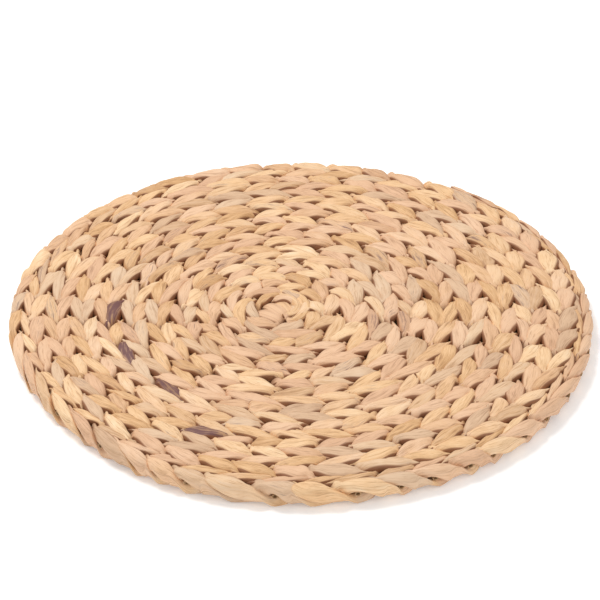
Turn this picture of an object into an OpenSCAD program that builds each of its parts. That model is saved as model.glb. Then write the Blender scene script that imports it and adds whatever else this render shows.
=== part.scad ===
// Round seat pad twined from dried water-hyacinth stalks. Flat stakes run out from
// the middle. Two pairs of weavers coil round them side by side: at every stake
// one weaver of a pair passes over and its partner under, and they swap between
// stakes. The outer pair turns one way and the inner pair the other, so each coil
// shows two columns of leaves that slant apart. New stakes are pushed in as the
// coil grows, so that the leaves keep their length.

/* [Overall size] */
// diameter over the rim
pad_d = 400; // [330:5:480]
// thickness over the weavers
pad_t = 18; // [14:0.5:22]

/* [Weaving] */
// width of one twined row; a coil is two rows wide
row_w = 9.5; // [8:0.25:11.5]
// distance from stake to stake along a row
leaf_pitch = 25; // [21:0.5:30]
// the same distance near the middle, as a part of the full one
near_pitch = 0.72; // [0.7:0.02:1]
// lean of the stakes out of the radial line, in degrees
lean = 12; // [0:1:18]
// uneven spacing of the stakes, as a part of their distance
uneven = 0.12; // [0:0.01:0.14]

/* [Stakes] */
// width of a stake
stake_w = 4.2; // [3:0.1:5]
// thickness of a stake
stake_t = 3.4; // [2.4:0.1:4.4]
// how far the cut ends stand out of the rim
stake_out = 1.5; // [0.5:0.25:4]

/* [Middle and rim] */
// radius of the middle, where the first stakes cross
eye_r = 7.5; // [7:0.25:10]
// middle of the coil, sideways from the middle of the pad
off_x = -15; // [-20:1:20]
// middle of the coil, away from the middle of the pad
off_y = 3; // [-20:1:20]
// step in the rim where the last row ends
rim_step = 8; // [7:0.5:12]
// direction in which the last row ends, in degrees
tail_dir = 60; // [0:5:355]
// how far the rim is pressed in on one side, as a part of the radius
dent = 0.03; // [0:0.005:0.04]
// direction of the pressed side, in degrees
dent_dir = 218; // [0:2:358]
// lengths of stalk spliced into each weaver
n_len = 10; // [8:1:11]

/* [Hidden] */
pad_r = pad_d / 2;
coil = 2 * row_w;
// clear space kept round every strand
air = 0.12;
// stakes in the first round, and sectors in a turn
n_sec = 6;
sec = 360 / n_sec;
ring_step = n_sec * leaf_pitch / (2 * PI);
edge_lo = pad_r - rim_step / 2;
n_full = round(n_sec * (edge_lo - eye_r - 8) / coil);
edge_0 = edge_lo - coil * n_full / n_sec;
t_last = sec * n_full;
n_all = n_full + n_sec;
t_end = sec * n_all;
turn_0 = tail_dir - t_end;
half_t = pad_t / 2;
lean_k = tan(lean) * 180 / PI;

// outer and inner edge of the coil at the running angle t
function edge_out(t) = t <= t_last ? edge_0 + coil * t / 360
    : edge_lo + rim_step * (t - t_last) / 360;
function edge_in(t) = t < 360 ? eye_r + (edge_0 - eye_r) * t / 360
    : edge_0 + coil * (t - 360) / 360;
function mid_r(t) = (edge_in(t) + edge_out(t)) / 2;
// the last turn gets thinner as it gets narrower
function high(t) = half_t * (t <= t_last ? 1 : 1 - 0.3 * (t - t_last) / 360);
function deep(t) = 0.6 * high(t);
function clear_z(t) = (0.866 * stake_t / 2 + 0.15 + 0.085 * deep(t)) / 0.915;

// repeatable scatter between 0 and 1
function scatter(a) = let (s = sin(a * 743.1) * 4375.85) s - floor(s);

// stakes in a sector, and which of them is new there
function want(j) = let (r = mid_r(sec * (j + 0.5)), full = min(1, r / (pad_r / 2)))
    max(1, round(r / ring_step / (near_pitch + (1 - near_pitch) * full)));
function count(j) = j < n_sec ? 1
    : let (c = count(j - n_sec)) min(c + 1, max(c, want(j)));
counts = [for (j = [0 : n_all - 1]) count(j)];
function grown(j) = j >= n_sec && j < n_all && counts[j] > counts[j - n_sec];
function place(j) = floor(scatter(j + 3) * counts[j]);
function is_new(j, i) = grown(j) && i == place(j);
function before(j, i) = grown(j) && i > place(j) ? i - 1 : i;
function after(j, i) = grown(j + n_sec) && i >= place(j + n_sec) ? i + 1 : i;

// angle of stake i in sector j, then where it enters and leaves the coil
function raw(j, i) = let (t = sec * (j + (i + 0.5) / counts[j]))
    t - lean_k * ln(mid_r(t) / pad_r)
      + (scatter(17 * j + i) - 0.5) * 2 * uneven * sec / counts[j];
function leave(j, i) = j + n_sec < n_all
    ? (raw(j, i) + raw(j + n_sec, after(j, i)) - 360) / 2
    : 2 * raw(j, i) - enter(j, i);
function enter(j, i) = j < n_sec || is_new(j, i) ? 2 * raw(j, i) - leave_free(j, i)
    : leave(j - n_sec, before(j, i)) + 360;
function leave_free(j, i) = j + n_sec < n_all ? leave(j, i)
    : raw(j, i) - lean_k * 0.5 * coil / mid_r(raw(j, i));

// every crossing in order along the coil: angle, and half its change over the coil
cross = [for (j = [0 : n_all - 1]) for (i = [0 : counts[j] - 1])
    let (a = enter(j, i), b = leave(j, i)) [(a + b) / 2, (b - a) / 2]];
n_cross = len(cross);

// a point at running angle t, y from -1 at the inner edge to 1 at the outer edge
function around(a) = a - 360 * floor(a / 360);
function pressed(r, a) = let (d = around(a - dent_dir + 180) - 180)
    r * (1 - dent * exp(-pow(d / 24, 2)) * pow(r / pad_r, 2));
function rim(a) = pressed(edge_out(t_last + around(a - tail_dir)), a);
shift_x = (rim(180) - rim(0)) / 2;
shift_y = (rim(270) - rim(90)) / 2;
function at(r, t, z) = let (k = 1 - r / pad_r, a = t + turn_0, q = pressed(r, a))
    [off_x * k + shift_x + q * cos(a), off_y * k + shift_y + q * sin(a), half_t + z];
function spot(t, d, y, z) = let (a = t + d * y)
    at(edge_in(a) + (edge_out(a) - edge_in(a)) * (y + 1) / 2, a, z);

// one section of a weaver at half step h: even on a stake, odd between two stakes;
// row is 1 for the outer row and -1 for the inner row, par picks the partner
function flip(h, par) = let (q = (h + 2 * par) % 4) q < 0 ? q + 4 : q;
function sect(row, par, h) =
    let (n = floor(h / 2), even = h % 2 == 0,
         c = even || n + 1 >= n_cross ? cross[n] : (cross[n] + cross[n + 1]) / 2,
         t = c[0], f = flip(h, par), s = f < 2 ? 1 : -1,
         w = 1 - 4 * air / (edge_out(t) - edge_in(t)),
         v = even ? [-0.97, 0.97, 0.55, -0.55] * s : [0.04, 0.04, 1, 1] * s,
         z = even ? [clear_z(t), clear_z(t), high(t), high(t)] * s
                  : [deep(t), -deep(t), -0.35 * high(t), 0.35 * high(t)] * s)
    [for (k = [0 : 3]) spot(t, c[1], row * (0.5 + 0.5 * v[k] * w), z[k])];
function mix(a, b, f) = [for (k = [0 : 3]) a[k] * (1 - f) + b[k] * f];

// a weaver from half step h0 to h1, with the ends drawn back by f of a half step
module strand(row, par, h0, h1, f0, f1) {
    full = [for (h = [h0 : h1]) sect(row, par, h)];
    n = len(full);
    rings = [for (i = [0 : n - 1])
        i == 0 && f0 > 0 ? mix(full[0], full[1], f0)
        : i == n - 1 && f1 > 0 ? mix(full[n - 1], full[n - 2], f1) : full[i]];
    q = function (i, a, b) a == 0
        ? [[i + a, i + b, i + a + 4], [i + b, i + b + 4, i + a + 4]]
        : [[i + a, i + b, i + b + 4], [i + a, i + b + 4, i + a + 4]];
    side = [for (i = [0 : n - 2]) for (a = [0 : 3]) each q(4 * i, a, (a + 1) % 4)];
    e = 4 * (n - 1);
    all = concat(side, [[0, 2, 1], [0, 3, 2], [e, e + 1, e + 2], [e, e + 2, e + 3]]);
    polyhedron([for (r = rings) each r],
        row > 0 ? all : [for (t = all) [t[0], t[2], t[1]]]);
}

// crossing at which length q of a weaver starts; the cut lies under the pad
function cut(w, par, q) = q <= 0 ? 0 : q >= n_len ? n_cross - 1
    : 2 * round((q - w / 4) * (n_cross - 1) / n_len / 2) + (par == 0 ? 1 : 0);
module weaver(row, par, q) {
    w = (row > 0 ? 0 : 2) + par;
    a = cut(w, par, q - 1);
    b = cut(w, par, q);
    strand(row, par, 2 * a, 2 * b, q == 1 ? 0 : 0.09, q == n_len ? 0 : 0.09);
}

// the row of points that a stake follows from crossing (j, i) outwards
function path(j, i) = let (b = leave(j, i), more = j + n_sec < n_all)
    concat([[edge_out(b) + (more ? 0 : stake_out), b, counts[j]]],
           more ? [for (p = path(j + n_sec, after(j, i))) [p[0], p[1] - 360, p[2]]] : []);
function stake_ring(p, z) =
    let (r = p[0], a = min(stake_w / 2, 0.085 * 2 * PI * r / (n_sec * p[2])), b = stake_t / 2)
    [for (k = [0 : 5]) let (u = a * cos(60 * k)) at(r, p[1] + u / r * 180 / PI, z + b * sin(60 * k))];
module rod(rings) {
    n = len(rings);
    e = 6 * (n - 1);
    polyhedron([for (r = rings) each r], concat(
        [for (i = [0 : n - 2]) for (k = [0 : 5])
            let (a = 6 * i + k, b = 6 * i + (k + 1) % 6) each [[a, a + 6, b + 6], [a, b + 6, b]]],
        [for (k = [1 : 4]) [0, k, k + 1]], [for (k = [1 : 4]) [e, e + k + 1, e + k]]));
}
module added_stake(j, i) {
    a = enter(j, i);
    rod([for (p = concat([[edge_in(a) + 0.8, a, counts[j]]], path(j, i))) stake_ring(p, 0)]);
}
// one of the first stakes: it runs from rim to rim over the middle
module base_stake(s) {
    up = (s - 1) * (stake_t + 0.2);
    arm = function (j) [for (p = concat([[edge_in(enter(j, 0)), enter(j, 0), 1]], path(j, 0))) p];
    a = arm(s);
    b = arm(s + 3);
    m = (a[0][1] + b[0][1] - 180) / 2;
    hub = [for (k = [0 : 5]) let (u = 0.9 * cos(60 * k))
        at(0, 0, up + stake_t / 2 * sin(60 * k)) + u * [-sin(m + turn_0), cos(m + turn_0), 0]];
    back = [for (i = [len(b) - 1 : -1 : 0]) let (r = stake_ring(b[i], 0))
        [for (k = [0 : 5]) r[(9 - k) % 6]]];
    rod(concat(back, [hub], [for (p = a) stake_ring(p, 0)]));
}
// the stalk lashed once round the crossing of the first stakes
module centre_wrap() {
    m = (enter(0, 0) + enter(1, 0)) / 2 + turn_0;
    n = 12;
    o = at(0, 0, 0);
    in_z = 1.5 * stake_t + 1.1;
    wall = max(0.2, half_t - 0.1 - in_z);
    rings = [for (i = [0 : n - 1]) let (a = 360 * i / n, w = 0.6 + 2.2 * pow(abs(sin(a)), 5))
        [for (c = [[0, -1], [0, 1], [1, 0.7], [1, -0.7]])
            let (x = (4.2 + 1.9 * c[0]) * cos(a), z = (in_z + wall * c[0]) * sin(a), y = w * c[1])
            o + [x * cos(m) - y * sin(m), x * sin(m) + y * cos(m), z]]];
    polyhedron([for (r = rings) each r],
        [for (i = [0 : n - 1]) for (k = [0 : 3])
            let (a = 4 * i + k, b = 4 * i + (k + 1) % 4, c = (a + 4) % (4 * n), d = (b + 4) % (4 * n))
            each [[a, b, d], [a, d, c]]]);
}

straw = [0.87, 0.70, 0.50];
tan_1 = [0.80, 0.62, 0.45];
pale = [0.92, 0.77, 0.58];
core = [0.66, 0.50, 0.34];

module outer_weaver(par, q) color(par == 0 ? straw : pale) weaver(1, par, q);
module inner_weaver(par, q) color(par == 0 ? tan_1 : straw) weaver(-1, par, q);
module added_stakes(m) color(core)
    for (s = [0 : n_sec - 1]) if (m * n_sec + s < n_all && grown(m * n_sec + s))
        added_stake(m * n_sec + s, place(m * n_sec + s));
function any_new(m) = len([for (s = [0 : n_sec - 1])
    if (m * n_sec + s < n_all && grown(m * n_sec + s)) s]) > 0;
rounds = [for (m = [1 : ceil(n_all / n_sec) - 1]) if (any_new(m)) m];
two = function (n) n < 10 ? str("0", n) : str(n);

for (s = [1 : 3])
    color(core) base_stake(s - 1);
color(tan_1) centre_wrap();
for (m = rounds)
    added_stakes(m);
for (par = [1, 2]) for (q = [1 : n_len])
    outer_weaver(par - 1, q);
for (par = [1, 2]) for (q = [1 : n_len])
    inner_weaver(par - 1, q);
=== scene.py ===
# %% [markdown]
# # A round seat pad twined from dried water-hyacinth stalks
# The pad is basket work. Flattened stakes run out from the middle like the spokes of
# a wheel. Two pairs of long stalks, the weavers, coil round them in one spiral. In a
# pair, one weaver passes over a stake while its partner passes under it, and the two
# swap before the next stake, as the two plies of a rope do. One pair turns to the
# right and the next to the left, so the leaves that show on top slant apart in
# chevrons. This script rebuilds every strand as a smooth stalk on the same path as
# the plain CAD strand, then gives it the fibre and colour of a dried plant.

# %% Libraries and the CAD frame
import math

import bpy
import numpy as np
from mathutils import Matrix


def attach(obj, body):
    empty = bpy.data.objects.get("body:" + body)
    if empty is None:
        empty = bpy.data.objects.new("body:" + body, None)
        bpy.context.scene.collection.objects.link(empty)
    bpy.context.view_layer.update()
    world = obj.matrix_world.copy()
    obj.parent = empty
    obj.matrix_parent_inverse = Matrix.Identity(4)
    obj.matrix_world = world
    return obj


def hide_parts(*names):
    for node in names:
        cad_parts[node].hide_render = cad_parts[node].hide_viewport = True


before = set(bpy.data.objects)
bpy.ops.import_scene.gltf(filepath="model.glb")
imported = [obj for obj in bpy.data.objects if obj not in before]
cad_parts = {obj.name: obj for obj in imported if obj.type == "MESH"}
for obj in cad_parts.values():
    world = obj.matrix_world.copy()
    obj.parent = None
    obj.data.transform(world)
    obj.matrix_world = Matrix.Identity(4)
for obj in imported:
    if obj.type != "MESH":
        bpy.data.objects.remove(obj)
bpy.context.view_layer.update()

# %% [markdown]
# ## Sizes
# All lengths below are in millimetres, as the maker of the pad would measure them,
# and are turned into metres only when a mesh is made. They are the same sizes as the
# CAD model's, because each finished strand has to lie where its plain strand lies.
# Only the cut ends of the stakes stand out less here, because they are hollowed.

# %% Sizes of the pad, its rows and its stakes
MM = 0.001
PAD_R = 200.0                     # radius over the rim
HALF_T = 9.0                      # half the thickness over the weavers
ROW_W = 9.5                       # width of one twined row
COIL = 2 * ROW_W                  # a turn of the coil is two rows wide
LEAF_PITCH = 25.0                 # from stake to stake along a row
NEAR_PITCH = 0.72                 # the same near the middle, as a part of the full one
LEAN = 12.0                       # lean of the stakes out of the radial line, in degrees
UNEVEN = 0.12                     # uneven spacing of the stakes, as a part of their distance
STAKE_W = 4.2                     # width of a stake
STAKE_T = 3.4                     # thickness of a stake
STAKE_OUT = 0.9                   # how far the cut ends stand out of the rim
EYE_R = 7.5                       # radius of the middle, where the first stakes cross
START_W = 8                       # width of the coil's band where it starts, before rounding
OFF_X, OFF_Y = -15.0, 3.0         # middle of the coil, from the middle of the pad
RIM_STEP = 8.0                    # step in the rim where the last row ends
TAIL_DIR = 60.0                   # direction in which the last row ends, in degrees
DENT, DENT_DIR = 0.03, 218.0      # how far the rim is pressed in, as a part, and where
DENT_SPAN = 24                    # degrees to each side at which the dip is down to a third
THIN = 0.3                        # how much thinner the pad is where the last row ends
SECTORS = 6                       # sectors in a turn, and stakes in the first turn
print("pad:", 2 * PAD_R, "mm across and", 2 * HALF_T, "mm thick")

# %% [markdown]
# ## The coil
# A coil of even width in a round outline would be a plain Archimedean spiral. This
# one is a band whose inner edge is the outer edge of the turn before, so its radius
# is a straight-line function of the running angle. In the last turn the band tapers
# to nothing, which closes the outline to a circle with one small step.

# %% The band's edges as functions of the running angle
SECTOR = 360 / SECTORS
RING_STEP = SECTORS * LEAF_PITCH / (2 * math.pi)
EDGE_LAST = PAD_R - RIM_STEP / 2
N_FULL = round(SECTORS * (EDGE_LAST - EYE_R - START_W) / COIL)
EDGE_0 = EDGE_LAST - COIL * N_FULL / SECTORS
T_LAST = SECTOR * N_FULL
N_ALL = N_FULL + SECTORS
T_END = SECTOR * N_ALL
TURN_0 = TAIL_DIR - T_END
LEAN_K = math.degrees(math.tan(math.radians(LEAN)))


def edge_out(t):
    """Outer edge: it grows by one coil a turn, and by the rim's step in the last turn."""
    return np.where(t <= T_LAST, EDGE_0 + COIL * t / 360,
                    EDGE_LAST + RIM_STEP * (t - T_LAST) / 360)


def edge_in(t):
    """Inner edge: the outer edge of one turn earlier, or the eye's edge in the first turn."""
    return np.where(t < 360, EYE_R + (EDGE_0 - EYE_R) * t / 360,
                    EDGE_0 + COIL * (t - 360) / 360)


def mid_radius(t):
    """Radius of the band's middle: the mean of its two edges."""
    return (edge_in(t) + edge_out(t)) / 2


def half_height(t):
    """Half the pad's thickness, which falls in a straight line by THIN over the last turn."""
    return HALF_T * np.where(t <= T_LAST, 1.0, 1 - THIN * (t - T_LAST) / 360)


print("turns:", round(T_END / 360, 2), " first edge:", round(EDGE_0, 2))

# %% Polar position on the pad to millimetres in the frame
def pressed(r, a):
    """Radius less a bell-shaped dip round one direction, which grows with the square of r."""
    d = (a - DENT_DIR + 180) % 360 - 180
    return r * (1 - DENT * np.exp(-(d / DENT_SPAN) ** 2) * (r / PAD_R) ** 2)


def rim_radius(direction):
    """Radius of the finished rim, from the middle of the coil, in one direction."""
    return float(pressed(edge_out(T_LAST + (direction - TAIL_DIR) % 360), direction))


SHIFT_X = (rim_radius(180) - rim_radius(0)) / 2
SHIFT_Y = (rim_radius(270) - rim_radius(90)) / 2
print("shift that centres the rim:", round(SHIFT_X, 2), round(SHIFT_Y, 2))


def place(r, t, z):
    """Polar to Cartesian about a centre that slides from the coil's to the pad's with r."""
    k = 1 - r / PAD_R
    q, a = pressed(r, t + TURN_0), np.radians(t + TURN_0)
    return np.stack(np.broadcast_arrays(OFF_X * k + SHIFT_X + q * np.cos(a),
                                        OFF_Y * k + SHIFT_Y + q * np.sin(a), HALF_T + z), axis=-1)


def across(t, half_change, y, z):
    """Point at y from -1 (inner edge) to 1 (outer edge) of the band, leaning with the stake."""
    a = t + half_change * y
    return place(edge_in(a) + (edge_out(a) - edge_in(a)) * (y + 1) / 2, a, z)


# %% [markdown]
# ## Where the stakes are
# A leaf is as long as the way from one stake to the next, and the leaves are as long
# at the rim as near the middle, so stakes are added as the coil grows. The stakes
# are counted sector by sector along the spiral: a sector repeats the count of the
# sector one turn before it, plus one when the gaps have grown wide enough.

# %% Count the stakes in each sector of the spiral
def scatter(a):
    """A repeatable number between 0 and 1: the fraction left of a scaled sine."""
    s = math.sin(math.radians(a * 743.1)) * 4375.85
    return s - math.floor(s)


counts = []
for j in range(N_ALL):
    middle = float(mid_radius(SECTOR * (j + 0.5)))
    share = NEAR_PITCH + (1 - NEAR_PITCH) * min(1, middle / (PAD_R / 2))
    want = max(1, math.floor(middle / RING_STEP / share + 0.5))
    before = counts[j - SECTORS] if j >= SECTORS else 1
    counts.append(1 if j < SECTORS else min(before + 1, max(before, want)))
print("stakes per sector:", counts[::SECTORS])

# %% Follow each stake from turn to turn
def grown(j):
    """True where sector j holds one stake more than the sector one turn before it."""
    return SECTORS <= j < N_ALL and counts[j] > counts[j - SECTORS]


def new_place(j):
    """Place of the new stake among the stakes of sector j, picked by the scatter."""
    return math.floor(scatter(j + 3) * counts[j])


def is_new(j, i):
    """True for the one stake that starts in sector j."""
    return grown(j) and i == new_place(j)


def index_before(j, i):
    """Place of the same stake one turn earlier: one less behind a new stake."""
    return i - 1 if grown(j) and i > new_place(j) else i


def index_after(j, i):
    """Place of the same stake one turn later: one more from a new stake on."""
    return i + 1 if grown(j + SECTORS) and i >= new_place(j + SECTORS) else i


def raw_angle(j, i):
    """Even steps in the sector, leaning with the logarithm of the radius, plus some scatter."""
    t = SECTOR * (j + (i + 0.5) / counts[j])
    return (t - LEAN_K * math.log(float(mid_radius(t)) / PAD_R)
            + (scatter(17 * j + i) - 0.5) * 2 * UNEVEN * SECTOR / counts[j])


def leave_free(j, i):
    """Angle where a stake leaves its row, worked out without its way in."""
    if j + SECTORS < N_ALL:
        return leave(j, i)
    a = raw_angle(j, i)
    return a - LEAN_K * 0.5 * COIL / float(mid_radius(a))


def leave(j, i):
    """Half-way to the stake's place one turn later, or as far on as it came in at the rim."""
    if j + SECTORS < N_ALL:
        return (raw_angle(j, i) + raw_angle(j + SECTORS, index_after(j, i)) - 360) / 2
    return 2 * raw_angle(j, i) - enter(j, i)


def enter(j, i):
    """Where the stake left the turn before, or as far back as it goes on for a new one."""
    if j < SECTORS or is_new(j, i):
        return 2 * raw_angle(j, i) - leave_free(j, i)
    return leave(j - SECTORS, index_before(j, i)) + 360


cross_t, cross_d = [], []
for j in range(N_ALL):
    for i in range(counts[j]):
        a, b = enter(j, i), leave(j, i)
        cross_t.append((a + b) / 2)
        cross_d.append((b - a) / 2)
cross_t, cross_d = np.array(cross_t), np.array(cross_d)
N_CROSS = len(cross_t)
print("crossings along the coil:", N_CROSS)

# %% [markdown]
# ## A twined strand
# A flattened stalk keeps one face up as it goes over a stake, down the outer side,
# under the next stake and up the inner side. In a cut across the row it is an oval
# that is wide and low on a stake, and narrow and tall where it squeezes past its
# partner. Seen from above, that makes a plump leaf with a thin tail at both ends. The
# fibres follow the stalk, so the rings of the mesh do too. Every leaf gets its own
# width, height, lean and fold, because no two stalks are alike.

# %% How finely a strand is made
AROUND = 24                       # points round a strand
RINGS = 14                        # rings from one stake to the next
LEAD_IN = 1.5                     # how far a weaver starts before the first stake, in stakes
print("rings in a weaver:", int((N_CROSS - 1 + LEAD_IN) * RINGS) + 1)

# %% A smooth curve through the values at whole numbers
def smooth(values, u):
    """Catmull-Rom curve through values at whole numbers, read at u."""
    n = len(values)
    i = np.clip(np.floor(u).astype(int), 0, n - 2)
    f = u - i
    p0, p1 = values[np.clip(i - 1, 0, n - 1)], values[i]
    p2, p3 = values[i + 1], values[np.clip(i + 2, 0, n - 1)]
    return 0.5 * (2 * p1 + (p2 - p0) * f + (2 * p0 - 5 * p1 + 4 * p2 - p3) * f ** 2
                  + (3 * p1 - p0 - 3 * p2 + p3) * f ** 3)


# %% Smooth noise on a grid, for creases and ridges
def soft_noise(rng, n_u, n_v, u, v):
    """Random numbers on a lattice that closes round in v, blended by smooth steps.

    The lattice has n_u by n_v cells, and u and v run from 0 to 1 over it.
    """
    lattice = rng.uniform(-1, 1, (n_u + 1, n_v))
    x, y = u * n_u, v * n_v
    i, j = np.clip(np.floor(x).astype(int), 0, n_u - 1), np.floor(y).astype(int)
    f, g = x - i, y - j
    f, g = f * f * (3 - 2 * f), g * g * (3 - 2 * g)
    a, b = lattice[i, j % n_v], lattice[i, (j + 1) % n_v]
    c, d = lattice[i + 1, j % n_v], lattice[i + 1, (j + 1) % n_v]
    return (a * (1 - g) + b * g) * (1 - f) + (c * (1 - g) + d * g) * f


# %% Signed volume, which is positive when the faces point outwards
def signed_volume(mesh):
    """Sum of the volumes from the origin to each triangle: a dot (b cross c) over six."""
    mesh.calc_loop_triangles()
    corners = np.empty(len(mesh.vertices) * 3)
    mesh.vertices.foreach_get("co", corners)
    index = np.empty(len(mesh.loop_triangles) * 3, np.int32)
    mesh.loop_triangles.foreach_get("vertices", index)
    a, b, c = corners.reshape(-1, 3)[index.reshape(-1, 3)].transpose(1, 0, 2)
    return float((a * np.cross(b, c)).sum() / 6)


# %% A grid of points to a closed tube mesh
def tube_object(name, points, uv, values):
    """Tube through rings of points: quads between rings, a fan to a middle point at each end."""
    n, m = points.shape[:2]
    i, j = np.meshgrid(np.arange(n - 1), np.arange(m), indexing="ij")
    k = (j + 1) % m
    quads = np.stack([i * m + j, i * m + k, (i + 1) * m + k, (i + 1) * m + j], -1).reshape(-1, 4)
    ring = np.arange(m)
    first, last = n * m, n * m + 1
    caps = np.concatenate([
        np.stack([np.full(m, first), (ring + 1) % m, ring], -1),
        np.stack([np.full(m, last), (n - 1) * m + ring, (n - 1) * m + (ring + 1) % m], -1)])
    verts = np.concatenate([points.reshape(-1, 3), points[0].mean(0)[None],
                            points[-1].mean(0)[None]]) * MM
    mesh = bpy.data.meshes.new(name)
    mesh.from_pydata(verts.tolist(), [], quads.tolist() + caps.tolist())
    uv_grid = np.stack(np.broadcast_arrays(uv[0], uv[1]), -1)
    corner_uv = np.concatenate([
        np.stack([uv_grid[:-1, :-1], uv_grid[:-1, 1:], uv_grid[1:, 1:], uv_grid[1:, :-1]],
                 2).reshape(-1, 2),
        np.repeat(uv_grid[:1, 0], 3 * m, 0), np.repeat(uv_grid[-1:, 0], 3 * m, 0)])
    mesh.uv_layers.new(name="stalk").data.foreach_set("uv", corner_uv.astype(np.float32).ravel())
    for key, grid in values.items():
        flat = np.broadcast_to(grid, (n, m)).reshape(-1)
        flat = np.concatenate([flat, flat[:1], flat[-1:]]).astype(np.float32)
        mesh.attributes.new(key, "FLOAT", "POINT").data.foreach_set("value", flat)
    mesh.polygons.foreach_set("use_smooth", np.ones(len(mesh.polygons), bool))
    mesh.update()
    obj = bpy.data.objects.new(name, mesh)
    bpy.context.collection.objects.link(obj)
    print(name, "vertices:", len(verts), "triangles:", 2 * len(quads) + len(caps),
          "volume in ml:", round(signed_volume(mesh) * 1e6, 1))
    return obj


# %% The leaf that a point belongs to
SPARE = 2                         # leaves before the first stake
N_LEAF = N_CROSS // 2 + 5
TAIL_FROM, TAIL_SPAN = 0.3, 0.2   # where a leaf's tail starts and how long it is, in leaves


def leaf_number(u, par):
    """Whole over a leaf, sliding to the next number over the tails, where it can't be seen."""
    whole = np.floor((u + par) / 2 + 0.5)
    part = (u + par) / 2 - whole
    slide = np.clip((np.abs(part) - TAIL_FROM) / TAIL_SPAN, 0, 1) ** 2
    return whole + np.sign(part) * 0.5 * slide + SPARE


def per_leaf(rng, leaf, low, high):
    """One random number for each leaf, read as a smooth curve along the strand."""
    return smooth(rng.uniform(low, high, N_LEAF), leaf)


print("leaves in a weaver:", N_LEAF)

# %% [markdown]
# ## The cut across a weaver
# Across the row, 1 is half a row, and up, 1 is half the pad's thickness. The turn w
# grows by 180 degrees from stake to stake. The oval's middle swings to the side with
# sin w and rises with cos w. The numbers below say how far, and how wide and tall the
# oval is. A power below one makes a curve boxier than a sine, and one above makes it
# linger near the middle. With these a leaf is broad, flat and blunt, like a stalk that
# was pressed under a board.

# %% The cut across a weaver
SWING, RISE, RISE_POWER = 0.50, 0.60, 1.4     # how far the oval's middle goes out and up
WAIST, PLUMP, PLUMP_POWER = 0.60, 0.78, 0.55  # half width between stakes, and what is added
LOW, TALL = 0.40, 0.92            # half height on a stake and between stakes
SIDE_POWER, FACE_POWER = 0.80, 0.66           # boxiness of the oval across and up
HIDDEN_FLAT, HIDDEN_POWER = 0.20, 0.6         # how much flatter the side on the stake is
FOLD_DEEP, FOLD_W = 0.30, 0.16    # a fold's greatest depth and its width
TILT_BELOW, TILT_ABOVE = 1.5, 0.25            # tilt of the tails under and over a stake
CREASE, RIDGE = 0.05, 0.025       # height of the coarse and of the fine unevenness
LOWEST, HIGHEST = -1.0, 1.06      # the underside lies flat, and a leaf may stand proud


def signed_power(x, power):
    """The size of x to a power, with the sign of x."""
    return np.sign(x) * np.abs(x) ** power


def cut_across(rng, leaf, u, o, par):
    """An oval in units of half a row across (v) and half the thickness up (z).

    Its middle is at SWING sin w across and at RISE times cos w to its power above.
    Its half width is WAIST between stakes, and PLUMP more on a stake. Its half height
    goes from LOW on a stake to TALL between stakes. The side that faces the stake is
    flatter, the open side has one fold, and the tails tilt to slip past each other.
    """
    turn = math.pi * (u + par) + per_leaf(rng, leaf, -0.34, 0.34)
    c, s = np.cos(turn), np.sin(turn)
    over = c ** 2
    middle_v = SWING * s + per_leaf(rng, leaf, -0.12, 0.12)
    middle_z = RISE * signed_power(c, RISE_POWER)
    plump = np.abs(np.cos(turn + per_leaf(rng, leaf, -0.35, 0.35)))
    half_w = (WAIST + PLUMP * plump ** PLUMP_POWER) * per_leaf(rng, leaf, 0.90, 1.12)
    half_z = (LOW * over + TALL * (1 - over)) * per_leaf(rng, leaf, 0.90, 1.04)
    way = (u + LEAD_IN) / (N_CROSS - 1 + LEAD_IN)
    crease = soft_noise(rng, N_CROSS * 2, 7, way, o + 0 * u)
    ridge = soft_noise(rng, N_CROSS * 3, 14, way, o + 0 * u)
    swell = 1 + CREASE * crease + RIDGE * ridge
    side, lift = np.cos(2 * math.pi * o), np.sin(2 * math.pi * o)
    facing = lift * np.sign(c) < 0
    fold_at = per_leaf(rng, leaf, -0.55, 0.55)
    fold = per_leaf(rng, leaf, 0, 1) ** 2 * np.exp(-((side - fold_at) / FOLD_W) ** 2)
    tilt = per_leaf(rng, leaf, -0.07, 0.07) - s * c * np.where(c < 0, TILT_BELOW, TILT_ABOVE)
    flat = np.where(facing, 1 - HIDDEN_FLAT * np.abs(c) ** HIDDEN_POWER, 1.0)
    folded = np.where(facing, 1.0, 1 - FOLD_DEEP * fold)
    v = middle_v + half_w * signed_power(side, SIDE_POWER) * swell
    z = middle_z + half_z * signed_power(lift, FACE_POWER) * flat * swell * folded + tilt * side
    return v, np.clip(z, LOWEST, HIGHEST)


# %% The last row rolls over the rim
ROLL = math.radians(12)
ROLL_FROM, ROLL_SPAN = T_END - 260, 60  # degrees of the coil over which the roll sets in
ROLL_BELOW = 1.0                  # the roll's axis is this far below mid height, in mm
LEFT_BELOW = 0.02                 # what is left of a dip below the underside


def rolled(t, v, z):
    """Turn the row by up to ROLL about its own line, and flatten what dips too low."""
    roll = ROLL * np.clip((t - ROLL_FROM) / ROLL_SPAN, 0, 1)
    y = v * ROW_W / 2
    v = (y * np.cos(roll) + (z + ROLL_BELOW) * np.sin(roll)) / (ROW_W / 2)
    z = (z + ROLL_BELOW) * np.cos(roll) - y * np.sin(roll) - ROLL_BELOW
    return v, np.maximum(z, -HALF_T + LEFT_BELOW * (z + HALF_T))


# %% Where a stalk is dark: painted shade deep in the weave and along its edges, and real bruises
# Painted shade: the colour darkens where a stalk lies deep in the weave and along its narrow edges,
# where shade falls between leaves.
SUNK_FROM, SUNK_SPAN = 0.90, 0.65 # heights between which it darkens, in half thicknesses
EDGE_FROM, EDGE_SPAN = 0.62, 0.25 # where an edge starts and how soft it is, by cosine
RIM_FROM, RIM_SPAN = T_END - 390, 25  # degrees of the coil over which the rim opens
SOUND = 0.72                      # the most that a sound leaf can be bruised, out of 1
# Bruised leaves of two of the weavers, which are keyed by row and by which goes over first.
BRUISED = {(1, 0): (49, 50, 51), (-1, 1): (87,)}


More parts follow.
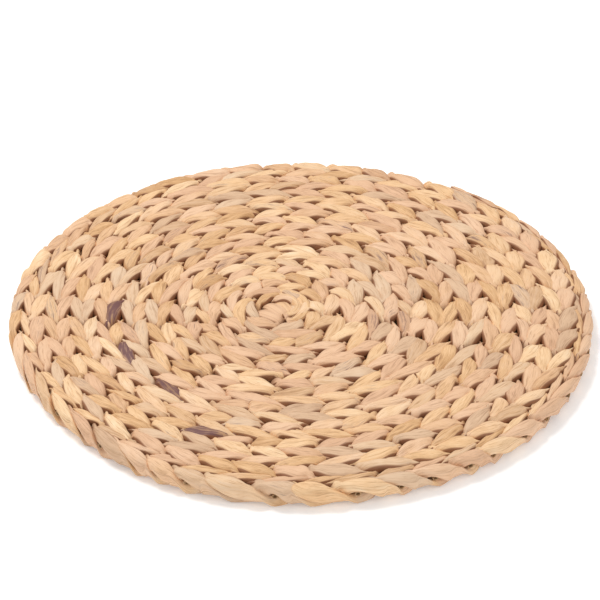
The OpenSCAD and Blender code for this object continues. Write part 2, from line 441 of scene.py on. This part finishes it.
def sunk_depth(t, z):
    """0 at the top and bottom of the pad, growing to 1 in a straight line towards its middle."""
    return np.clip((SUNK_FROM - np.abs(z) / half_height(t)) / SUNK_SPAN, 0, 1)


def edge_share(o):
    """1 on the two narrow edges of the oval, and 0 on its two faces."""
    return np.clip((np.abs(np.cos(2 * math.pi * o)) - EDGE_FROM) / EDGE_SPAN, 0, 1)


def open_rim(row, t, v):
    """1 on the outer side of the last turn, where a leaf lies open and gets no painted shade."""
    if row < 0:
        return 0 * v
    return np.clip((t - RIM_FROM) / RIM_SPAN, 0, 1) * np.clip(2 * v, 0, 1)


def bruises(rng, row, par):
    """A random number below SOUND for each leaf, and 1 for the bruised ones."""
    marks = rng.uniform(0, SOUND, N_LEAF)
    marks[[number + SPARE for number in BRUISED.get((row, par), ())]] = 1.0
    return marks


# %% The surface of one weaver
def weaver_surface(row, par, seed):
    """The cut across the weaver, carried along its row of the coil in even steps.

    The outer row (row 1) and the inner row (row -1) turn opposite ways, because the
    inner row's cut is mirrored in the middle of the band. On the outer row the points
    round each ring are put in reverse order, so that the faces point outwards on both.
    """
    rng = np.random.default_rng(seed)
    n = int((N_CROSS - 1 + LEAD_IN) * RINGS) + 1
    u = np.linspace(-LEAD_IN, N_CROSS - 1, n)[:, None]
    o = np.linspace(0, 1, AROUND, endpoint=False)[None]
    leaf = leaf_number(u, par)
    t, d = smooth(cross_t, u), smooth(cross_d, u)
    v, z = cut_across(rng, leaf, u, o, par)
    z = z * half_height(t)
    if row > 0:
        v, z = rolled(t, v, z)
    # Painted shade: sunk darkens what lies deep in the weave, and edge darkens the narrow edges. Both
    # are left off the open rim.
    shaded = 1 - open_rim(row, t, v)
    sunk, edge = sunk_depth(t, z) * shaded, edge_share(o) * shaded
    points = across(t, d, row * (0.5 + 0.5 * v), z)
    if row > 0:
        points, edge, sunk = points[:, ::-1], edge[:, ::-1], sunk[:, ::-1]
    bruise = smooth(bruises(rng, row, par), leaf)
    tone, hue = per_leaf(rng, leaf, 0, 1), per_leaf(rng, leaf, 0, 1)
    steps = np.linalg.norm(np.diff(points[:, 0], axis=0), axis=1)
    along = np.concatenate([[0], np.cumsum(steps)])
    uv = (along[:, None] * MM, np.linspace(0, 1, AROUND + 1)[None])
    return points, uv, {"leaf_tone": tone, "leaf_hue": hue, "bruise": bruise,
                        "sunk": sunk, "edge": edge}


# %% Make the four weavers
ROWS = {("outer", 1): (1, 0), ("outer", 2): (1, 1), ("inner", 1): (-1, 0), ("inner", 2): (-1, 1)}
FIRST_SEED = 11
weavers = {}
for number, ((side, which), (row, par)) in enumerate(ROWS.items()):
    surface = weaver_surface(row, par, FIRST_SEED + number)
    weavers[side, which] = tube_object(f"{side}_weaver_{which}", *surface)

# %% [markdown]
# ## Stakes
# The stakes are flattened stalks that hardly show: a little of each in the gaps
# between leaves, and the cut end at the rim. Each one is swept along the points
# where it crosses from turn to turn, and its cut end is blunt and hollowed a little.

# %% The way of a stake through the turns
ARM_START = 0.5                   # where an arm of the first stakes starts, from the middle
NEW_START = 0.8                   # where a new stake starts, from the inner edge of its turn


def stake_path(j, i):
    """Radius, angle and count of stakes in the sector, from where a stake starts to the rim."""
    a = enter(j, i)
    start = ARM_START if j < SECTORS else float(edge_in(a)) + NEW_START
    marks = [(start, a, counts[j])]
    turned = 0
    while True:
        b = leave(j, i)
        inside = j + SECTORS < N_ALL
        marks.append((float(edge_out(b)) + (0 if inside else STAKE_OUT), b - turned, counts[j]))
        if not inside:
            return np.array(marks)
        i, j, turned = index_after(j, i), j + SECTORS, turned + 360


# %% The rings round a stake
FINE = 3                          # rings from one turn of the coil to the next
STAKE_AROUND = 10                 # points round a stake
GAP_SHARE = 0.085                 # half a stake's width is at most this part of the gap
END_BACK = (-0.2, -4.0)           # the last two rings go back into the cut end
END_SIZE = (0.74, 0.66)           # and are this much smaller


def stake_rings(path):
    """Ovals along the stake, STAKE_W wide or less where stakes crowd, and STAKE_T thick."""
    n = len(path)
    u = np.linspace(0, n - 1, (n - 1) * FINE + 1)
    r, t, c = (smooth(path[:, k], u)[:, None] for k in range(3))
    a = np.minimum(STAKE_W / 2, GAP_SHARE * 2 * math.pi * r / (SECTORS * c))
    w = np.linspace(0, 2 * math.pi, STAKE_AROUND, endpoint=False)[None]
    out, size = np.zeros(len(r) + 2), np.ones(len(r) + 2)
    out[-2:], size[-2:] = END_BACK, END_SIZE
    last = np.minimum(np.arange(len(r) + 2), len(r) - 1)
    r, t, a = r[last] + out[:, None], t[last], a[last] * size[:, None]
    side = a * np.cos(w)
    return place(r + 0 * side, t + np.degrees(side / r), STAKE_T / 2 * size[:, None] * np.sin(w))


starts = [(j, i) for j in range(N_ALL) for i in range(counts[j]) if j < SECTORS or is_new(j, i)]
print("stakes:", len(starts))

# %% Join many tubes in one mesh
def stakes_object(name, all_rings):
    """Closed tubes in one mesh: quads between rings, and one flat face at both ends."""
    verts, faces, base = [], [], 0
    for rings in all_rings:
        n, m = rings.shape[:2]
        i, j = np.meshgrid(np.arange(n - 1), np.arange(m), indexing="ij")
        k = (j + 1) % m
        faces += (base + np.stack([i * m + j, i * m + k, (i + 1) * m + k, (i + 1) * m + j],
                                  -1).reshape(-1, 4)).tolist()
        faces.append((base + np.arange(m)[::-1]).tolist())
        faces.append((base + (n - 1) * m + np.arange(m)).tolist())
        verts.append(rings.reshape(-1, 3))
        base += n * m
    mesh = bpy.data.meshes.new(name)
    mesh.from_pydata((np.concatenate(verts) * MM).tolist(), [], faces)
    mesh.update()
    obj = bpy.data.objects.new(name, mesh)
    bpy.context.collection.objects.link(obj)
    print(name, "faces:", len(faces), "volume in ml:", round(signed_volume(mesh) * 1e6, 1))
    return obj


stakes = stakes_object("stakes", [stake_rings(stake_path(j, i)) for j, i in starts])

# %% [markdown]
# ## The lashing in the middle
# The first stakes cross in the eye of the coil, and a stalk is lashed round the
# crossing. From above it shows as three small plump straps side by side, which close
# the eye. Each is made as its own ring, because only the tops can be seen.

# %% One strap round the crossing
WRAP_RINGS = 48                   # rings round a strap
REACH, REACH_T = 9.2, 3.2         # half the strap's length, and half its thickness at the ends
TOP_T = 2.6                       # half its thickness on top
WRAP_W, WRAP_MORE = 3.6, 1.9      # half its width at the ends, and what the top adds
WRAP_SQUARE, WRAP_FACE = 0.8, 0.7 # powers below one, which square the loop and its oval
WRAP_CREASE = 0.06                # height of its creases, as a part of its size
WRAP_LENGTH = 6.5                 # length of stalk for each radian of the way round


def lashing(turned, sink, aside, seed):
    """A loop round a squared ellipse that stands on a line through the crossing.

    The stalk's cut is an oval, widest on top. The loop lies aside of the middle, its
    line is turned from the line between the first two stakes, and its top is sink
    below the top of the pad.
    """
    rng = np.random.default_rng(seed)
    u = np.linspace(0, 2 * math.pi, WRAP_RINGS + 1)[:, None]
    o = np.linspace(0, 2 * math.pi, AROUND, endpoint=False)[None]
    line = math.radians((enter(0, 0) + enter(1, 0)) / 2 + TURN_0 + turned)
    top = np.abs(np.sin(u)) ** 2
    reach = REACH + REACH_T * np.cos(o)
    rise = HALF_T - sink - TOP_T + TOP_T * signed_power(np.cos(o), WRAP_SQUARE)
    wide = (WRAP_W + WRAP_MORE * top) * signed_power(np.sin(o), WRAP_FACE)
    noise = soft_noise(rng, 12, 7, u / (2 * math.pi), o / (2 * math.pi) + 0 * u)
    crease = 1 + WRAP_CREASE * noise
    x = reach * signed_power(np.cos(u), WRAP_SQUARE) * crease
    y = wide * crease + aside
    z = rise * signed_power(np.sin(u), WRAP_SQUARE) + 0 * u
    hub = place(0.0, 0.0, 0.0)
    points = np.stack([hub[0] + x * math.cos(line) - y * math.sin(line),
                       hub[1] + x * math.sin(line) + y * math.cos(line), hub[2] + z], -1)
    uv = (u * WRAP_LENGTH * MM, np.linspace(0, 1, AROUND + 1)[None])
    # Painted shade on the straps: darker deep in the weave and along their narrow edges.
    sunk = np.clip((SUNK_FROM - np.abs(z) / HALF_T) / SUNK_SPAN, 0, 1) + 0 * crease
    return points, uv, {"leaf_tone": rng.uniform(0.3, 0.6), "leaf_hue": rng.uniform(0.4, 0.8),
                        "bruise": 0.2, "sunk": sunk, "edge": np.abs(np.sin(o)) ** 6 + 0 * u}


# %% Make the three straps: turned in degrees, sunk in mm, aside in mm, seed
STRAPS = [(-12, 0.2, 0.0, 5), (2, 0.9, -7.6, 6), (-30, 1.4, 6.6, 7)]
centre = [tube_object(f"centre_strap_{number + 1}", *lashing(*strap))
          for number, strap in enumerate(STRAPS)]

# %% [markdown]
# ## The dried stalk
# A water-hyacinth stalk dries to straw, tan and rosy brown. It has fine fibres along
# its length, folds where it was flattened, darker streaks and a few brown bruises,
# and a soft satin skin. The fibres follow the strand, so they read its UV map: U is
# the length in metres, V goes once round. Tone and hue change from leaf to leaf.

# %% A small class for shader maths
class Sock:
    """A socket in a material, with + - * written as in arithmetic."""

    def __init__(self, tree, socket):
        self.tree, self.socket = tree, socket

    def node(self, kind, out=0, settings=None, **inputs):
        """Add a node: its settings first, then its inputs by name, or i0, i1 by number."""
        made = self.tree.nodes.new(kind)
        for key, value in (settings or {}).items():
            if key == "stops":
                ramp = made.color_ramp
                while len(ramp.elements) < len(value):
                    ramp.elements.new(0.5)
                for element, (stop, colour) in zip(ramp.elements, value):
                    element.position, element.color = stop, (*colour, 1)
            else:
                setattr(made, key, value)
        for key, value in inputs.items():
            numbered = key[0] == "i" and key[1:].isdigit()
            entry = made.inputs[int(key[1:]) if numbered else key.replace("_", " ")]
            if isinstance(value, Sock):
                self.tree.links.new(value.socket, entry)
            else:
                entry.default_value = value
        return Sock(self.tree, made.outputs[out])

    def maths(self, op, a, b, clamp=False):
        """A Math node on two values, with its result kept between 0 and 1 if clamp is set."""
        return self.node("ShaderNodeMath", settings={"operation": op, "use_clamp": clamp}, i0=a, i1=b)

    def __add__(self, other):
        return self.maths("ADD", self, other)

    def __sub__(self, other):
        return self.maths("SUBTRACT", self, other)

    def __rsub__(self, other):
        return self.maths("SUBTRACT", other, self)

    def __mul__(self, other):
        return self.maths("MULTIPLY", self, other)

    __radd__, __rmul__ = __add__, __mul__

    def clamped(self):
        """The value, kept between 0 and 1."""
        return self.maths("ADD", self, 0.0, clamp=True)

    def blend(self, a, b):
        """Mix colour a towards colour b, by this value."""
        return self.node("ShaderNodeMix", 2, {"data_type": "RGBA", "blend_type": "MIX"},
                         i0=self, i6=a, i7=b)

    def ramp(self, *stops):
        """Colours at stops from 0 to 1, read at this value."""
        return self.node("ShaderNodeValToRGB", settings={"stops": stops}, Fac=self)

    def step(self, low, high):
        """0 at low, 1 at high, and a soft S-shaped step between them."""
        return self.node("ShaderNodeMapRange", settings={"interpolation_type": "SMOOTHSTEP"},
                         Value=self, From_Min=low, From_Max=high)


def new_material(name):
    """A material with its tree, its skin shader, and a Sock that adds nodes to the tree."""
    material = bpy.data.materials.new(name)
    material.use_nodes = True
    tree = material.node_tree
    return material, tree, tree.nodes["Principled BSDF"], Sock(tree, None)


# %% Colours of the dried stalk, and of the shade painted on it
STRAW = [(0.0, (0.34, 0.15, 0.055)), (0.3, (0.62, 0.35, 0.155)), (0.55, (0.80, 0.50, 0.26)),
         (0.8, (0.89, 0.62, 0.37)), (1.0, (0.94, 0.75, 0.53))]
ROSY_TAN = (0.74, 0.46, 0.32, 1.0)
GREY_TAN = (0.60, 0.43, 0.32, 1.0)
STREAK_BROWN = (0.24, 0.10, 0.045, 1.0)
BRUISE_BROWN = (0.13, 0.045, 0.05, 1.0)
# Painted shade: the browns for the narrow edges and for what lies deep in the weave.
EDGE_SHADE_BROWN = (0.25, 0.09, 0.035, 1.0)
DEEP_SHADE_BROWN = (0.24, 0.10, 0.04, 1.0)

# %% The dried stalk's material
def stalk_material(name, shift):
    """Straw colours by tone, with fibre streaks from noise that is stretched along the stalk.

    Over them come, in turn, a rosy and a grey tint for some leaves, dark streaks, the
    bruises, and painted shade: brown along the edges and on what lies deep in the weave.
    """
    material, tree, skin, s = new_material(name)
    uv = s.node("ShaderNodeUVMap", settings={"uv_map": "stalk"})

    def share(of):
        return s.node("ShaderNodeAttribute", 2, {"attribute_name": of})

    def fibres(along, around, detail, offset):
        stretched = s.node("ShaderNodeMapping", Vector=uv, Scale=(along, around, 1.0),
                           Location=(offset, offset * 0.37, shift))
        return s.node("ShaderNodeTexNoise", 0, {"noise_dimensions": "3D"}, Vector=stretched,
                      Scale=1.0, Detail=detail, Roughness=0.6)

    tone, hue, bruise = share("leaf_tone"), share("leaf_hue"), share("bruise")
    sunk, edge = share("sunk"), share("edge")
    fine = fibres(120.0, 110.0, 4.0, 1.3)
    streak = fibres(35.0, 22.0, 2.0, 5.1)
    broad = fibres(60.0, 3.0, 2.0, 9.7)
    level = (tone - 0.5) * 0.40 + (streak - 0.5) * 0.45 + (fine - 0.5) * 0.80
    level = level + (broad - 0.5) * 0.45 + 0.54
    colour = level.clamped().ramp(*STRAW)
    rosy = (hue + broad * 0.3).step(0.55, 1.0) * 0.52
    colour = rosy.blend(colour, ROSY_TAN)
    grey = (1.0 - hue + streak * 0.3).step(0.85, 1.10) * 0.5
    colour = grey.blend(colour, GREY_TAN)
    dark_streak = (streak * fine).step(0.24, 0.14) * 0.35
    colour = dark_streak.blend(colour, STREAK_BROWN)
    patch = (bruise + streak * 0.9 + fine * 0.8 + broad * 0.5).step(1.78, 2.15) * 0.95
    colour = patch.blend(colour, BRUISE_BROWN)
    # Painted shade: a brown line along the narrow edges, where leaves meet.
    edge_shade = (edge * (0.5 + fine)).step(0.15, 0.90) * 0.88
    colour = edge_shade.blend(colour, EDGE_SHADE_BROWN)
    # Painted shade: brown on what lies deep in the weave.
    deep_shade = sunk.step(0.20, 1.0) * 0.75
    colour = deep_shade.blend(colour, DEEP_SHADE_BROWN)
    tree.links.new(colour.socket, skin.inputs["Base Color"])
    rough = 0.45 + (1.0 - fine) * 0.25
    tree.links.new(rough.socket, skin.inputs["Roughness"])
    skin.inputs["Specular IOR Level"].default_value = 0.4
    bump = s.node("ShaderNodeBump", Strength=0.5, Distance=0.0007,
                  Height=fine * 0.6 + streak * 0.8 + broad * 0.4)
    tree.links.new(bump.socket, skin.inputs["Normal"])
    print("material:", name)
    return material


SLOTS = {("outer", 1): "stalk_straw", ("outer", 2): "stalk_pale",
         ("inner", 1): "stalk_tan", ("inner", 2): "stalk_rosy"}
SHIFT = 3.0                       # each stalk reads its noise this far from the one before
materials = {key: stalk_material(name, SHIFT * number)
             for number, (key, name) in enumerate(SLOTS.items())}

# %% The stakes' material
def stake_material():
    """Brown to straw by a mix of fine grain and larger patches, with the grain as bump."""
    material, tree, skin, s = new_material("stake_stalk")
    where = s.node("ShaderNodeTexCoord", 3)
    grain = s.node("ShaderNodeTexNoise", 0, Vector=where, Scale=900.0, Detail=3.0)
    patch = s.node("ShaderNodeTexNoise", 0, Vector=where, Scale=60.0, Detail=2.0)
    colour = (grain * 0.6 + patch * 0.4).ramp((0.25, (0.16, 0.08, 0.035)), (0.5, (0.45, 0.27, 0.13)),
                                              (0.75, (0.75, 0.55, 0.34)))
    tree.links.new(colour.socket, skin.inputs["Base Color"])
    skin.inputs["Roughness"].default_value = 0.7
    bump = s.node("ShaderNodeBump", Strength=0.5, Distance=0.0005, Height=grain)
    tree.links.new(bump.socket, skin.inputs["Normal"])
    print("material: stake_stalk")
    return material


# %% [markdown]
# ## Joining the pieces to the frame
# The pad has no moving parts, so every piece rides on the one body. Each finished
# strand stands for the plain CAD lengths that it replaces.

# %% Ride, replace and dress each piece
nodes = list(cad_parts)
for (side, which), obj in weavers.items():
    obj.data.materials.append(materials[side, which])
    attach(obj, "root")
    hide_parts(*[n for n in nodes if n.startswith(f"{side}_weaver_{which}_")])
stakes.data.materials.append(stake_material())
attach(stakes, "root")
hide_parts(*[n for n in nodes if "stake" in n])
for strap in centre:
    strap.data.materials.append(materials["inner", 1])
    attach(strap, "root")
    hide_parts("centre_wrap")
print("pieces that ride on root:", len(weavers) + 1 + len(centre))

# %% [markdown]
# ## Floor, light and camera
# The pad lies on a plain near-white floor under large soft lights. The floor glows a
# little, so that the shadow round the pad stays faint. The camera looks down at the
# pad from the front with a long lens, which keeps its outline close to an ellipse.

# %% Floor
FLOOR_GLOW = 0.22
bpy.ops.mesh.primitive_plane_add(size=30, location=(0, 0, -0.0005))
floor = bpy.context.object
floor.name = "floor"
floor_material, _, floor_skin, _ = new_material("floor_white")
floor_skin.inputs["Base Color"].default_value = (0.93, 0.93, 0.93, 1)
floor_skin.inputs["Roughness"].default_value = 0.9
floor_skin.inputs["Emission Color"].default_value = (1, 1, 1, 1)
floor_skin.inputs["Emission Strength"].default_value = FLOOR_GLOW
floor.data.materials.append(floor_material)
print("floor:", tuple(round(size) for size in floor.dimensions[:2]), "m")

# %% Lights
SKY_STRENGTH = 0.64
bpy.context.scene.view_settings.view_transform = "Standard"
world = bpy.data.worlds.new("studio")
bpy.context.scene.world = world
world.use_nodes = True
world.node_tree.nodes["Background"].inputs["Color"].default_value = (1, 1, 1, 1)
world.node_tree.nodes["Background"].inputs["Strength"].default_value = SKY_STRENGTH


def soft_light(name, where, size, power):
    """A square lamp at a point, turned so that it faces the middle of the pad."""
    light = bpy.data.lights.new(name, "AREA")
    light.shape, light.size, light.energy = "SQUARE", size, power
    obj = bpy.data.objects.new(name, light)
    bpy.context.collection.objects.link(obj)
    obj.location = where
    x, y, z = where
    obj.rotation_euler = (math.atan2(math.hypot(x, y), z), 0, math.atan2(x, -y))
    print("light:", name, power, "W")


soft_light("key", (-0.7, 0.5, 1.9), 0.7, 25)
soft_light("fill", (1.4, -1.2, 1.4), 1.2, 6)

# %% Camera
ELEVATION = 0.5925                # angle above the floor, in radians
DISTANCE = 10.8926 * PAD_R * MM
AIM = (-0.54, 27.18, HALF_T)      # the point that it looks at, in millimetres
SENSOR, LENS = 36.0, 186.2076
camera_data = bpy.data.cameras.new("camera")
camera_data.sensor_width = SENSOR
camera_data.lens = LENS
camera = bpy.data.objects.new("camera", camera_data)
bpy.context.collection.objects.link(camera)
look_at = [length * MM for length in AIM]
camera.location = (look_at[0], look_at[1] - DISTANCE * math.cos(ELEVATION),
                   look_at[2] + DISTANCE * math.sin(ELEVATION))
camera.rotation_euler = (math.pi / 2 - ELEVATION, 0, 0)
bpy.context.scene.camera = camera
print("camera:", [round(x, 3) for x in camera.location], "lens:", LENS, "mm")
